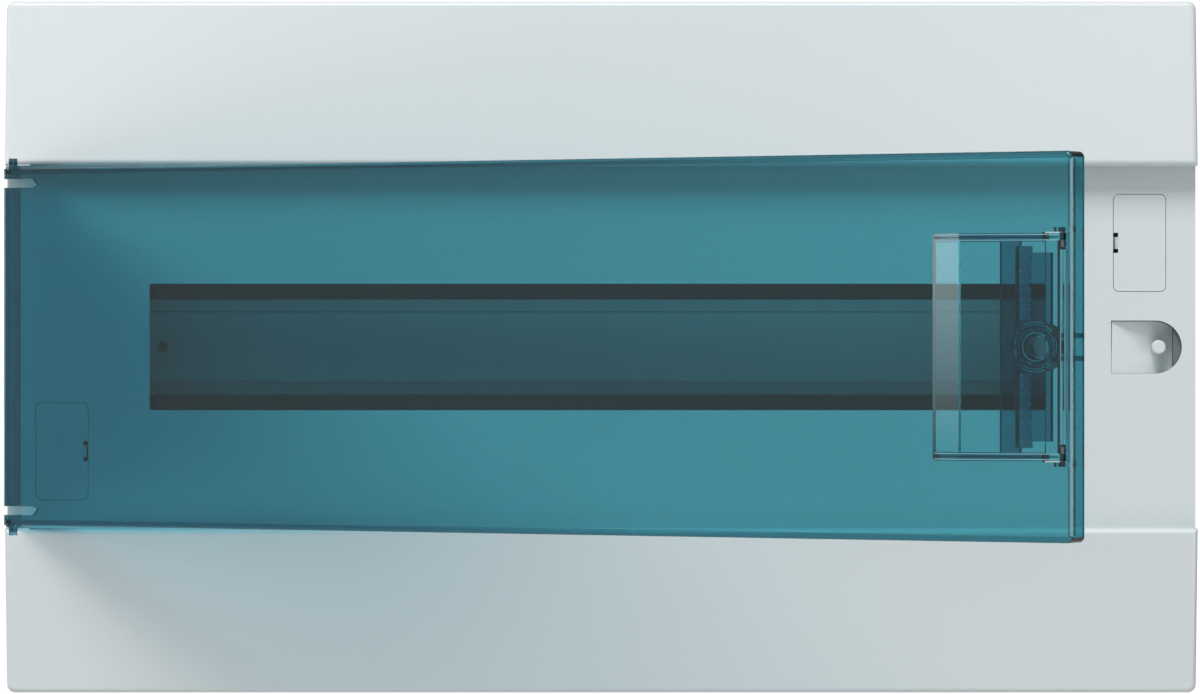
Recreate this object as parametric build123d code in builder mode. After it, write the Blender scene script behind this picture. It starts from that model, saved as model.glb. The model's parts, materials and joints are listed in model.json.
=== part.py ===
from build123d import *
import os

# A wall-mounted weatherproof distribution board for 18 modules: a base box with knock-outs, a cover with
# two raised panels and a recessed band between them, and a clear door in that band, hinged at the left.
#
# X points right, Y into the wall and Z up. The origin is the centre of the back face. A "height" is the
# distance in front of the wall, so a face at height h lies at Y = -h. The door is drawn partly open.

# ---------------------------------------------------------------- whole object
WIDTH = 430.0
HEIGHT = 250.0
NEAR = 146.0  # height of the near edges of the cover's raised panels
RIM = 86.0  # height of the joint between base and cover
CORNER = 3.0

# ---------------------------------------------------------------- cover
COVER_WALL = 2.5
PANEL_FALL = 8.0  # how much lower a raised panel is at its outer edge
BAND = 130.8  # height of the recessed band, along Z
BAND_DEPTH = 10.5
FLOOR = NEAR - BAND_DEPTH
EDGE_ROUND = 2.0
WINDOW_WIDTH = 324.9
WINDOW_TALL = 45.8
WINDOW_X = -0.7
WINDOW_CORNER = 0.8
FRAME_GAP = 1.0  # from the window's edge to the stiffening frame behind it
FRAME_WALL = 1.8
FRAME_DEEP = 6.0
LIP_WIDE = 5.5  # the thicker edge that meets the base
LIP_TALL = 4.0
BEARING_LONG = 8.0
BEARING_WIDE = 6.0
BEARING_X = 2.0  # from the hinge pin to the middle of its bearing
BEARING_CLEAR = 0.05
BEARING_MOUTH = 3.1

# ---------------------------------------------------------------- base and its seal
BASE_WIDTH = 422.0
BASE_TALL = 242.0
BASE_WALL = 3.0
BASE_CORNER = 6.0
FLANGE = 8.0
SEAL_WIDTH = 3.0
SEAL_INSET = 2.0
SEAL_CORNER = 1.0
GROOVE_DEPTH = 4.0
TONGUE = 1.5
TONGUE_WALL = 2.0
TONGUE_CLEAR = 0.5
BACK_ROUND = 2.0
FIXING_X = 350.0
FIXING_Z = 180.0
FIXING_HOLE = 3.0
FIXING_PLUG = 6.0
FIXING_TALL = 16.0
SLEEVE_WALL = 2.5
PLUG_RING = 1.2
PLUG_DEEP = 5.0
PLUG_HEAD = 1.5
BOSS_OUTER = 4.0  # bosses under the rail supports and the bar holders
BOSS_HOLE = 1.7
KNOCKOUT_PITCH = 44.0
KNOCKOUT_HEIGHT = 44.0
KNOCKOUT_SCORE = 1.2
KNOCKOUT_LINE = 0.8
KNOCKOUT_RINGS = (10.25, 12.75, 16.25)
KNOCKOUT_END_RINGS = (12.75, 16.25, 20.25)
KNOCKOUT_END_PITCH = 60.0

# ---------------------------------------------------------------- cover screws and their caps
SCREW_X = 194.8
SCREW_Z = 37.7
CAP_WIDTH = 18.8
CAP_TALL = 35.0
CAP_CORNER = 2.0
CAP_GAP = 0.2
CAP_THICK = 2.0
CAP_LEG = 8.0
CAP_LEG_X = 8.4
CAP_LEG_THICK = 1.4
CAP_LEG_WIDE = 5.0
CAP_LEG_SPAN = 20.0
NOTCH_DEEP = 1.7  # the notch that a screwdriver prises the cap by
NOTCH_TALL = 7.3
NOTCH_STEP = 4.3  # the middle of the notch has a floor
NOTCH_FLOOR = 0.9
POCKET_DEPTH = 12.0
POCKET_WALL = 2.0
POCKET_FLOOR = FLOOR - POCKET_DEPTH
POST_TOP = 90.0
POST_RADIUS = 8.0
POST_ROOF = 3.0
SLEEVE_RADIUS = 7.0
CHAMBER_DEEP = 9.0
CHAMBER_CLEAR = 0.7
SHANK = 3.0
SHANK_CLEAR = 0.2
KEYWAY_CLEAR = 0.3
KEYWAY_LONG = 0.4
WING_SPAN = 10.4
WING_WIDE = 3.0
WING_TALL = 2.6
WING_CLEAR = 0.2
HEAD_RADIUS = 5.0
HEAD_TALL = 3.4
HEAD_ROUND = 0.6
HEAD_SLOT = 1.4
SCREW_SEAL_TALL = 1.2
SCREW_SEAL_CLEAR = 0.1

# ---------------------------------------------------------------- door
OPEN_ANGLE = 30.0
HINGE_X = -212.0
AXIS_DEPTH = 2.5  # the hinge axis lies this far behind the door's face
HINGE_HEIGHT = NEAR - AXIS_DEPTH
DOOR_LEFT = 3.0
DOOR_RIGHT = 423.6
DOOR_TALL = 128.5
DOOR_DEPTH = 9.7
DOOR_WALL = 2.0
DOOR_EDGE = 1.2
DOOR_CORNER = 2.2
HINGE_CORNER = 4.0  # round back corner that lets the door swing
FRONT = -AXIS_DEPTH
BACK = DOOR_DEPTH - AXIS_DEPTH
PIN_RADIUS = 1.75
PIN_LONG = 2.5
PIN_ROUND = 1.0
COLLAR = 1.0  # how far the pin's collar stands out round it
COLLAR_TALL = 0.7
COLLAR_ROOT = 0.5
FINGER = 3.7
SLOT_TALL = 3.2
SLOT_LONG = 13.0
SLOT_POINT = 2.0

# ---------------------------------------------------------------- latch in the door, in door coordinates
PIVOT_U = 419.6
PIVOT_V = -0.8
BARREL = 1.7
HANDLE_TIP = (375.0, -7.0)
HANDLE_CREST = (386.6, -11.0)
HANDLE_WALL = 2.0
HANDLE_TALL = 74.8
HANDLE_ROUND = 1.0
CHEEK = 2.4
CHEEK_END = 414.2
CHEEK_CLEAR = 0.3
OPENING_TALL = 69.2
OPENING_LEFT = 373.6
PIVOT_LEFT = 413.0  # from here on the opening is as tall as the handle
SHELF_LEFT = 397.6
SHELF_RIGHT = 404.6
BAY_WALL = 2.0
BAY_RIGHT = 412.4
BAY_TALL = 62.2
BAY_WALL_TALL = 66.4
BOSS_U = 408.7
BOSS_RADIUS = 8.4
BOSS_BORE = 6.2
BOSS_FRONT = 0.5
LOCK_HOLE = 3.7
LOCK_RECESS = 5.0
LOCK_SET_BACK = 1.2
LOCK_FLOOR = 3.2
ARM_LEFT = 416.4
ARM_RIGHT = 418.5
ARM_END = 13.6
ARM_THICK = 1.7
ARM_MIDDLE = 3.75
NOSE_U = 420.4
NOSE_TOP = 11.7
NOSE_LOW = 12.4
NOTCH_LEFT = 414.3  # notches in the lock boss for the hook's arms
NOTCH_CLEAR = 0.45
LUG_LEFT = 416.6
LUG_RIGHT = 421.8
LUG_THICK = 1.6
LUG_BACK = 2.5
SPIGOT = 0.85  # radius of the pins inside the handle
SPIGOT_CLEAR = 0.05
SPIGOT_END = 31.9
PIN_HEAD = 1.2
PIN_HEAD_LONG = 1.5
BARREL_END = 32.6  # half the length of the barrel between the springs
SPRING_START = 32.8
SPRING_WIRE = 0.35
SPRING_TURNS = 6
SPRING_OUTER = 1.55
SPRING_WAIST = 1.4
SPRING_INNER = 0.95
SPRING_CLEAR = 0.15

# ---------------------------------------------------------------- latch pocket in the cover
POCKET_LEFT = 184.5
POCKET_RADIUS = 9.6
POCKET_RIGHT = 210.1
POCKET_SHALLOW = 0.5
POCKET_DEEP = 9.5
POCKET_SKIN = 2.0
LEDGE_X = 206.8
LEDGE_TOP = 2.2
LEDGE_BOTTOM = 3.5
WELL_RIGHT = 211.8
WELL_WIDE = 12.0
STUD_X = 201.8
STUD_RADIUS = 2.5
STUD_ROUND = 0.6

# ---------------------------------------------------------------- rail and terminal bars
RAIL_FRONT = 89.0
RAIL_WIDE = 35.0
RAIL_DEEP = 7.5
RAIL_CHANNEL = 27.0
RAIL_SHEET = 1.0
RAIL_LONG = 380.0
RAIL_HOLE_X = 162.0
RAIL_HOLE = 2.1
RAIL_LIP = 5.0
SUPPORT_X = 180.0
SUPPORT_WIDE = 20.0
SUPPORT_FOOT = 60.0
SUPPORT_WALL = 3.0
SUPPORT_ROOF = 10.0
FOOT_HOLE_Z = 24.0
FOOT_HOLE = 1.8
FOOT_HEIGHT = 9.0
FOOT_THICK = 4.0
PAN_RADIUS = 3.5
PAN_TALL = 2.4
PAN_ROUND = 0.8
PAN_SLOT = 1.0
PAN_SLOT_DEEP = 1.2
PAN_SHANK = 1.65
PAN_LONG = 9.0
BAR_LONG = 130.0
BAR_TALL = 9.0
BAR_DEEP = 7.0
BAR_X = 90.0
BAR_Z = 84.0
BAR_HEIGHT = 40.0
BAR_SCREWS = 12
BAR_PITCH = 10.0
BAR_BASE = 1.0  # brass left under the clamp holes
CLAMP_RADIUS = 1.75
CLAMP_SEAT = 5.2
CLAMP_HEAD = 2.9
CLAMP_HEAD_TALL = 2.2
CLAMP_HEAD_SOLID = 1.0
CLAMP_SLOT = 0.9
WIRE_HOLE = 2.1
WIRE_HEIGHT = 3.0
HOLDER_WIDE = 12.0
HOLDER_TALL = 16.0
HOLDER_SPAN = 122.0
HOLDER_WELL = 3.9
JAW = 2.0
JAW_WIDE = 6.0


def front_plane(height):
    """The plane parallel to the wall at this height: local x is X and local y is Z."""
    return Plane.XZ.offset(height)


def at(x, z):
    """A place on a front plane."""
    return Locations((x, z))


OPEN = Vector(1, 0, 0).rotate(Axis.Z, -OPEN_ANGLE)
DOOR_NORMAL = Vector(0, -1, 0).rotate(Axis.Z, -OPEN_ANGLE)
HINGE = Vector(HINGE_X, -HINGE_HEIGHT, 0)


def door_plane(v):
    """The plane parallel to the door, v behind the hinge axis: local x is u, along the door, local y is Z."""
    return Plane(origin=HINGE - DOOR_NORMAL * v, x_dir=OPEN, z_dir=DOOR_NORMAL)


def door_section(z):
    """A level plane at z: local x is u and local y is v, towards the back of the door."""
    return Plane(origin=HINGE + Vector(0, 0, z), x_dir=OPEN, z_dir=(0, 0, 1))


# ================================================================ front cover
def cover_outline(inset):
    """Corner points, in Y and Z, of the cover's side profile, moved inwards by inset."""
    near = NEAR - inset
    edge = NEAR - PANEL_FALL - inset
    floor = FLOOR - inset
    inner = BAND / 2 + inset
    outer = HEIGHT / 2 - inset
    half = [(-RIM, outer), (-edge, outer), (-near, inner), (-floor, inner)]
    return half + [(y, -z) for y, z in reversed(half)]


# The D-shaped pocket that the handle's hook drops into: its floor falls to the right, up to a ledge.
with BuildPart() as latch_pocket:
    with BuildSketch(Plane.XY.offset(-POCKET_RADIUS)):
        with BuildLine():
            Polyline(
                (POCKET_LEFT, -FLOOR - 1),
                (POCKET_LEFT, -FLOOR + POCKET_SHALLOW),
                (LEDGE_X, -FLOOR + POCKET_DEEP),
                (LEDGE_X, -FLOOR + LEDGE_TOP),
                (POCKET_RIGHT, -FLOOR + LEDGE_TOP),
                (POCKET_RIGHT, -FLOOR - 1),
                close=True,
            )
        make_face()
    extrude(amount=2 * POCKET_RADIUS)
    with BuildSketch(front_plane(FLOOR - POCKET_DEEP - 1)):
        with at(POCKET_RIGHT - POCKET_RADIUS, 0):
            Circle(POCKET_RADIUS)
        with at((POCKET_LEFT + POCKET_RIGHT - POCKET_RADIUS) / 2, 0):
            Rectangle(POCKET_RIGHT - POCKET_RADIUS - POCKET_LEFT, 2 * POCKET_RADIUS)
    extrude(amount=POCKET_DEEP + 2, mode=Mode.INTERSECT)

cap_places = [(SCREW_X, SCREW_Z), (-SCREW_X, -SCREW_Z)]

with BuildPart() as front_cover:
    with BuildSketch(Plane.YZ.offset(-WIDTH / 2)):
        with BuildLine():
            Polyline(*cover_outline(0), close=True)
        make_face()
    extrude(amount=WIDTH)
    fillet(front_cover.edges().filter_by(Axis.Y).group_by(Axis.Z)[0], CORNER)
    fillet(front_cover.edges().filter_by(Axis.Y).group_by(Axis.Z)[-1], CORNER)
    panel_faces = front_cover.faces().filter_by(Axis.X, reverse=True).sort_by(Axis.Y)[:2]
    fillet(panel_faces.edges(), EDGE_ROUND)
    # The hollow behind the skin.
    with BuildSketch(Plane.YZ.offset(-WIDTH / 2 + COVER_WALL)):
        with BuildLine():
            Polyline(*cover_outline(COVER_WALL), close=True)
        make_face()
    extrude(amount=WIDTH - 2 * COVER_WALL, mode=Mode.SUBTRACT)
    # A thicker rim with a tongue that presses the seal.
    with BuildSketch(front_plane(RIM)):
        RectangleRounded(WIDTH, HEIGHT, CORNER)
        Rectangle(WIDTH - 2 * LIP_WIDE, HEIGHT - 2 * LIP_WIDE, mode=Mode.SUBTRACT)
    extrude(amount=LIP_TALL)
    tongue_outer = SEAL_INSET + TONGUE_CLEAR
    tongue_inner = tongue_outer + TONGUE_WALL
    with BuildSketch(front_plane(RIM)):
        RectangleRounded(WIDTH - 2 * tongue_outer, HEIGHT - 2 * tongue_outer, CORNER)
        RectangleRounded(
            WIDTH - 2 * tongue_inner,
            HEIGHT - 2 * tongue_inner,
            SEAL_CORNER,
            mode=Mode.SUBTRACT,
        )
    extrude(amount=-TONGUE)
    # Pockets and legs for the two cover screws.
    with BuildSketch(front_plane(POCKET_FLOOR - POCKET_WALL)):
        with Locations(*cap_places):
            Rectangle(CAP_WIDTH + 2 * POCKET_WALL, CAP_TALL + 2 * POCKET_WALL)
    extrude(amount=POCKET_DEPTH + POCKET_WALL - 0.5)
    with BuildSketch(front_plane(POST_TOP)):
        with Locations(*cap_places):
            Circle(SLEEVE_RADIUS)
    extrude(amount=POCKET_FLOOR - POST_TOP)
    with BuildSketch(front_plane(POCKET_FLOOR)):
        with Locations(*cap_places):
            RectangleRounded(CAP_WIDTH + 2 * CAP_GAP, CAP_TALL + 2 * CAP_GAP, CAP_CORNER + CAP_GAP)
    extrude(amount=POCKET_DEPTH + 1, mode=Mode.SUBTRACT)
    with BuildSketch(front_plane(POST_TOP)):
        with Locations(*cap_places):
            Circle(SHANK + SHANK_CLEAR)
    extrude(amount=POCKET_FLOOR - POST_TOP, mode=Mode.SUBTRACT)
    # The latch pocket, the well under its ledge that the hook catches in, and the stud.
    block_left = POCKET_LEFT - POCKET_SKIN
    block_right = WIDTH / 2 - 1
    with BuildSketch(front_plane(FLOOR - POCKET_DEEP - POCKET_SKIN)):
        with at((block_left + block_right) / 2, 0):
            Rectangle(block_right - block_left, 2 * (POCKET_RADIUS + POCKET_SKIN))
    extrude(amount=POCKET_DEEP + POCKET_SKIN - 0.5)
    add(latch_pocket.part, mode=Mode.SUBTRACT)
    with BuildSketch(front_plane(FLOOR - POCKET_DEEP)):
        with at((LEDGE_X - 1 + WELL_RIGHT) / 2, 0):
            Rectangle(WELL_RIGHT - LEDGE_X + 1, WELL_WIDE)
    extrude(amount=POCKET_DEEP - LEDGE_BOTTOM, mode=Mode.SUBTRACT)
    with BuildSketch(front_plane(FLOOR - POCKET_DEEP)):
        with at(STUD_X, 0):
            Circle(STUD_RADIUS)
    extrude(amount=POCKET_DEEP)
    stud_top = front_cover.faces().filter_by(Axis.Y).filter_by_position(Axis.Y, -FLOOR - 0.01, -FLOOR + 0.01)
    fillet(stud_top.sort_by(SortBy.AREA)[0].edges(), STUD_ROUND)
    # The window over the rail, with a stiffening frame behind it.
    frame_inner = 2 * FRAME_GAP
    frame_outer = 2 * (FRAME_GAP + FRAME_WALL)
    with BuildSketch(front_plane(FLOOR - COVER_WALL - FRAME_DEEP)):
        with at(WINDOW_X, 0):
            Rectangle(WINDOW_WIDTH + frame_outer, WINDOW_TALL + frame_outer)
            Rectangle(WINDOW_WIDTH + frame_inner, WINDOW_TALL + frame_inner, mode=Mode.SUBTRACT)
    extrude(amount=FRAME_DEEP + 0.5)
    with BuildSketch(front_plane(FLOOR - COVER_WALL - 1)):
        with at(WINDOW_X, 0):
            RectangleRounded(WINDOW_WIDTH, WINDOW_TALL, WINDOW_CORNER)
    extrude(amount=COVER_WALL + 2, mode=Mode.SUBTRACT)
    # Bearings for the hinge pins, open to the front so that the pins snap in.
    bearing_z = (BAND + BEARING_WIDE) / 2
    with BuildSketch(front_plane(FLOOR - 1)):
        with Locations((HINGE_X + BEARING_X, bearing_z), (HINGE_X + BEARING_X, -bearing_z)):
            Rectangle(BEARING_LONG, BEARING_WIDE)
    extrude(amount=BAND_DEPTH)
    with BuildSketch(Plane.XY.offset(-BAND / 2 - PIN_LONG)):
        with Locations((HINGE_X, -HINGE_HEIGHT)):
            Circle(PIN_RADIUS + BEARING_CLEAR)
        with Locations((HINGE_X, -HINGE_HEIGHT - AXIS_DEPTH)):
            Rectangle(BEARING_MOUTH, 2 * AXIS_DEPTH)
    extrude(amount=BAND + 2 * PIN_LONG, mode=Mode.SUBTRACT)


# ================================================================ base box, seal and wall fixings
fixing_places = [(x, z) for x in (-FIXING_X / 2, FIXING_X / 2) for z in (-FIXING_Z / 2, FIXING_Z / 2)]
foot_places = [(x, z) for x in (-SUPPORT_X, SUPPORT_X) for z in (-FOOT_HOLE_Z, FOOT_HOLE_Z)]
holder_places = [
    (x + side * HOLDER_SPAN / 2, z)
    for x, z in ((-BAR_X, BAR_Z), (BAR_X, -BAR_Z))
    for side in (-1, 1)
]
knockout_columns = [KNOCKOUT_PITCH * step for step in range(-4, 5)]

with BuildPart() as base_box:
    with BuildSketch(front_plane(0)):
        RectangleRounded(BASE_WIDTH, BASE_TALL, BASE_CORNER)
    extrude(amount=RIM)
    fillet(base_box.faces().sort_by(Axis.Y)[-1].edges(), BACK_ROUND)
    with BuildSketch(front_plane(RIM - FLANGE)):
        RectangleRounded(WIDTH, HEIGHT, CORNER)
    extrude(amount=FLANGE)
    with BuildSketch(front_plane(BASE_WALL)):
        RectangleRounded(BASE_WIDTH - 2 * BASE_WALL, BASE_TALL - 2 * BASE_WALL, BASE_CORNER - BASE_WALL)
    extrude(amount=RIM, mode=Mode.SUBTRACT)
    with BuildSketch(front_plane(RIM - GROOVE_DEPTH)):
        RectangleRounded(WIDTH - 2 * SEAL_INSET, HEIGHT - 2 * SEAL_INSET, CORNER)
        RectangleRounded(
            WIDTH - 2 * SEAL_INSET - 2 * SEAL_WIDTH,
            HEIGHT - 2 * SEAL_INSET - 2 * SEAL_WIDTH,
            SEAL_CORNER,
            mode=Mode.SUBTRACT,
        )
    extrude(amount=GROOVE_DEPTH, mode=Mode.SUBTRACT)
    # Sleeves for the wall screws, bosses for what stands inside, and posts for the cover screws.
    with BuildSketch(front_plane(BASE_WALL - 1)):
        with Locations(*fixing_places):
            Circle(FIXING_PLUG + SLEEVE_WALL)
    extrude(amount=FIXING_TALL - BASE_WALL + 1)
    with BuildSketch(front_plane(BASE_WALL - 1)):
        with Locations(*foot_places, *holder_places):
            Circle(BOSS_OUTER)
    extrude(amount=FOOT_HEIGHT - BASE_WALL + 1)
    with BuildSketch(front_plane(BASE_WALL - 1)):
        with Locations(*cap_places):
            Circle(POST_RADIUS)
    extrude(amount=POST_TOP - BASE_WALL + 1)
    with BuildSketch(front_plane(BASE_WALL)):
        with Locations(*foot_places, *holder_places):
            Circle(BOSS_HOLE)
    extrude(amount=FOOT_HEIGHT, mode=Mode.SUBTRACT)
    with BuildSketch(front_plane(0)):
        with Locations(*fixing_places):
            Circle(FIXING_HOLE)
    extrude(amount=FIXING_TALL, mode=Mode.SUBTRACT)
    with BuildSketch(front_plane(BASE_WALL)):
        with Locations(*fixing_places):
            Circle(FIXING_PLUG)
    extrude(amount=FIXING_TALL, mode=Mode.SUBTRACT)
    # The bayonet in each post: a keyed slot through the roof and a round chamber under it.
    with BuildSketch(front_plane(POST_TOP - POST_ROOF)):
        with Locations(*cap_places):
            Circle(SHANK + KEYWAY_CLEAR)
            Rectangle(WING_WIDE + 2 * KEYWAY_CLEAR, WING_SPAN + 2 * KEYWAY_LONG)
    extrude(amount=POST_ROOF, mode=Mode.SUBTRACT)
    with BuildSketch(front_plane(POST_TOP - POST_ROOF - CHAMBER_DEEP)):
        with Locations(*cap_places):
            Circle(WING_SPAN / 2 + CHAMBER_CLEAR)
    extrude(amount=CHAMBER_DEEP, mode=Mode.SUBTRACT)
    # Scored rings of the cable knock-outs in the upper and lower walls, then in the end walls.
    for wall in (-1, 1):
        with BuildSketch(Plane.XY.offset(wall * (BASE_TALL / 2 - KNOCKOUT_SCORE))):
            with Locations(*[(x, -KNOCKOUT_HEIGHT) for x in knockout_columns]):
                for radius in KNOCKOUT_RINGS:
                    Circle(radius)
                    Circle(radius - KNOCKOUT_LINE, mode=Mode.SUBTRACT)
        extrude(amount=2 * wall * KNOCKOUT_SCORE, mode=Mode.SUBTRACT)
        with BuildSketch(Plane.YZ.offset(wall * (BASE_WIDTH / 2 - KNOCKOUT_SCORE))):
            with Locations(*[(-KNOCKOUT_HEIGHT, KNOCKOUT_END_PITCH * step) for step in (-1, 0, 1)]):
                for radius in KNOCKOUT_END_RINGS:
                    Circle(radius)
                    Circle(radius - KNOCKOUT_LINE, mode=Mode.SUBTRACT)
        extrude(amount=2 * wall * KNOCKOUT_SCORE, mode=Mode.SUBTRACT)

with BuildPart() as cover_gasket:
    with BuildSketch(front_plane(RIM - GROOVE_DEPTH)):
        RectangleRounded(WIDTH - 2 * SEAL_INSET, HEIGHT - 2 * SEAL_INSET, CORNER)
        RectangleRounded(
            WIDTH - 2 * SEAL_INSET - 2 * SEAL_WIDTH,
            HEIGHT - 2 * SEAL_INSET - 2 * SEAL_WIDTH,
            SEAL_CORNER,
            mode=Mode.SUBTRACT,
        )
    extrude(amount=GROOVE_DEPTH - TONGUE)

with BuildPart() as wall_screw_plugs:
    with BuildSketch(front_plane(FIXING_TALL - PLUG_DEEP)):
        with Locations(*fixing_places):
            Circle(FIXING_PLUG)
            Circle(FIXING_PLUG - PLUG_RING, mode=Mode.SUBTRACT)
    extrude(amount=PLUG_DEEP)
    with BuildSketch(front_plane(FIXING_TALL)):
        with Locations(*fixing_places):
            Circle(FIXING_PLUG + PLUG_HEAD)
    extrude(amount=PLUG_HEAD)

# ================================================================ cover screws, seals and caps
def quarter_turn_screw(x, z):
    """A bayonet screw: slotted head on its seal, shank, and two wings locked under the post's roof."""
    head_base = POCKET_FLOOR + SCREW_SEAL_TALL
    wing_base = POST_TOP - POST_ROOF - WING_CLEAR - WING_TALL
    with BuildPart() as screw:
        with BuildSketch(front_plane(head_base)):
            with at(x, z):
                Circle(HEAD_RADIUS)
        extrude(amount=HEAD_TALL)
        fillet(screw.faces().sort_by(Axis.Y)[0].edges(), HEAD_ROUND)
        with BuildSketch(front_plane(head_base + HEAD_TALL - HEAD_SLOT)):
            with at(x, z):
                Rectangle(2 * HEAD_RADIUS + 1, HEAD_SLOT)
        extrude(amount=2 * HEAD_SLOT, mode=Mode.SUBTRACT)
        with BuildSketch(front_plane(wing_base)):
            with at(x, z):
                Circle(SHANK)
        extrude(amount=head_base - wing_base)
        with BuildSketch(front_plane(wing_base)):
            with at(x, z):
                Rectangle(WING_SPAN, WING_WIDE)
        extrude(amount=WING_TALL)
    return screw


cover_screw_upper = quarter_turn_screw(*cap_places[0])
cover_screw_lower = quarter_turn_screw(*cap_places[1])

with BuildPart() as cover_screw_seals:
    with BuildSketch(front_plane(POCKET_FLOOR)):
        with Locations(*cap_places):
            Circle(HEAD_RADIUS)
            Circle(SHANK + KEYWAY_CLEAR, mode=Mode.SUBTRACT)
    extrude(amount=SCREW_SEAL_TALL - SCREW_SEAL_CLEAR)


def snap_cap(x, z):
    """A flush cap with a prising slot on the side towards the middle and four legs that snap in."""
    inward = -1 if x > 0 else 1
    notch_x = x + inward * (CAP_WIDTH - NOTCH_DEEP) / 2
    with BuildPart() as cap:
        with BuildSketch(front_plane(FLOOR - CAP_THICK)):
            with at(x, z):
                RectangleRounded(CAP_WIDTH, CAP_TALL, CAP_CORNER)
            with at(notch_x, z):
                Rectangle(NOTCH_DEEP, NOTCH_TALL, mode=Mode.SUBTRACT)
        extrude(amount=CAP_THICK)
        with BuildSketch(front_plane(FLOOR - CAP_THICK)):
            with at(notch_x, z):
                Rectangle(NOTCH_DEEP, NOTCH_STEP)
        extrude(amount=NOTCH_FLOOR)
        with BuildSketch(front_plane(FLOOR - CAP_THICK - CAP_LEG)):
            with at(x, z):
                with GridLocations(2 * CAP_LEG_X, CAP_LEG_SPAN, 2, 2):
                    Rectangle(CAP_LEG_THICK, CAP_LEG_WIDE)
        extrude(amount=CAP_LEG)
    return cap


screw_cap_upper = snap_cap(*cap_places[0])
screw_cap_lower = snap_cap(*cap_places[1])

# ================================================================ door
with BuildPart() as door:
    with BuildSketch(door_section(-DOOR_TALL / 2)) as door_outline:
        with Locations(((DOOR_RIGHT - DOOR_LEFT) / 2, (FRONT + BACK) / 2)):
            Rectangle(DOOR_RIGHT + DOOR_LEFT, DOOR_DEPTH)
        fillet(door_outline.vertices().group_by(Axis.Y)[-1].sort_by(Axis.X)[0], HINGE_CORNER)
    extrude(amount=DOOR_TALL)
    free_corners = door.edges().filter_by(Axis(HINGE, DOOR_NORMAL)).sort_by(Axis(HINGE, OPEN))[-2:]
    fillet(free_corners, DOOR_CORNER)
    front_face = door.faces().sort_by(Axis(HINGE, DOOR_NORMAL))[-1]
    fillet(front_face.edges(), DOOR_EDGE)
    # The hollow of the tray.
    with BuildSketch(door_plane(FRONT + DOOR_WALL)):
        with at((DOOR_RIGHT - DOOR_LEFT) / 2, 0):
            Rectangle(DOOR_RIGHT + DOOR_LEFT - 2 * DOOR_WALL, DOOR_TALL - 2 * DOOR_WALL)
    extrude(amount=-DOOR_DEPTH, mode=Mode.SUBTRACT)
    # Slots that free a springy finger at each hinge pin.
    slot_place = DOOR_TALL / 2 - FINGER - SLOT_TALL / 2
    for side in (-1, 1):
        with BuildSketch(door_plane(BACK + 1)):
            with BuildLine():
                Polyline(
                    (-DOOR_LEFT - 1, side * (slot_place - SLOT_TALL / 2)),
                    (SLOT_LONG - DOOR_LEFT, side * (slot_place - SLOT_TALL / 2)),
                    (SLOT_LONG - DOOR_LEFT + SLOT_POINT, side * (slot_place - SLOT_TALL / 4)),
                    (SLOT_LONG - DOOR_LEFT, side * (slot_place + SLOT_TALL / 2)),
                    (-DOOR_LEFT - 1, side * (slot_place + SLOT_TALL / 2)),
                    close=True,
                )
            make_face()
        extrude(amount=DOOR_DEPTH + 2, mode=Mode.SUBTRACT)
    # Hinge pins with a collar at each end.
    with BuildSketch(door_section(-DOOR_TALL / 2 - PIN_LONG)):
        Circle(PIN_RADIUS)
    extrude(amount=PIN_LONG + DOOR_WALL)
    with BuildSketch(door_section(DOOR_TALL / 2 - DOOR_WALL)):
        Circle(PIN_RADIUS)
    extrude(amount=PIN_LONG + DOOR_WALL)
    for pin_end in (door.faces().sort_by(Axis.Z)[0], door.faces().sort_by(Axis.Z)[-1]):
        fillet(pin_end.edges(), PIN_ROUND)
    for side in (-1, 1):
        with BuildSketch(door_section(side * (DOOR_TALL / 2 - COLLAR_ROOT))):
            Circle(PIN_RADIUS + COLLAR)
        extrude(amount=side * (COLLAR_ROOT + COLLAR_TALL))
    # The opening under the handle, as tall as the handle itself where its cheeks go down to the pivot.
    opening_right = DOOR_RIGHT - DOOR_WALL
    pivot_tall = HANDLE_TALL + 2 * CHEEK_CLEAR
    with BuildSketch(door_plane(FRONT + DOOR_WALL)):
        with at((OPENING_LEFT + opening_right) / 2, 0):
            Rectangle(opening_right - OPENING_LEFT, OPENING_TALL)
        with at((PIVOT_LEFT + opening_right) / 2, 0):
            Rectangle(opening_right - PIVOT_LEFT, pivot_tall)
    extrude(amount=DOOR_WALL + 1, mode=Mode.SUBTRACT)
    # The shelf beside the finger opening, the wall down from it and the floor of the latch bay.
    with BuildSketch(door_plane(FRONT + DOOR_WALL)):
        with at((SHELF_LEFT + SHELF_RIGHT) / 2, 0):
            Rectangle(SHELF_RIGHT - SHELF_LEFT, OPENING_TALL)
    extrude(amount=DOOR_WALL)
    with BuildSketch(door_plane(BACK)):
        with at(SHELF_RIGHT - BAY_WALL / 2, 0):
            Rectangle(BAY_WALL, BAY_WALL_TALL)
    extrude(amount=DOOR_DEPTH)
    with BuildSketch(door_plane(BACK)):
        with at((SHELF_RIGHT - BAY_WALL + BAY_RIGHT) / 2, 0):
            Rectangle(BAY_RIGHT - SHELF_RIGHT + BAY_WALL, BAY_TALL)
    extrude(amount=DOOR_WALL)
    # The lock boss, and lugs that hold the handle's pins.
    with BuildSketch(door_plane(BACK)):
        with at(BOSS_U, 0):
            Circle(BOSS_RADIUS)
    extrude(amount=BACK - BOSS_FRONT)
    with BuildSketch(door_plane(BACK)):
        with at(BOSS_U, 0):
            Circle(BOSS_BORE)
    extrude(amount=DOOR_DEPTH + 1, mode=Mode.SUBTRACT)
    for side in (-1, 1):
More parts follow.
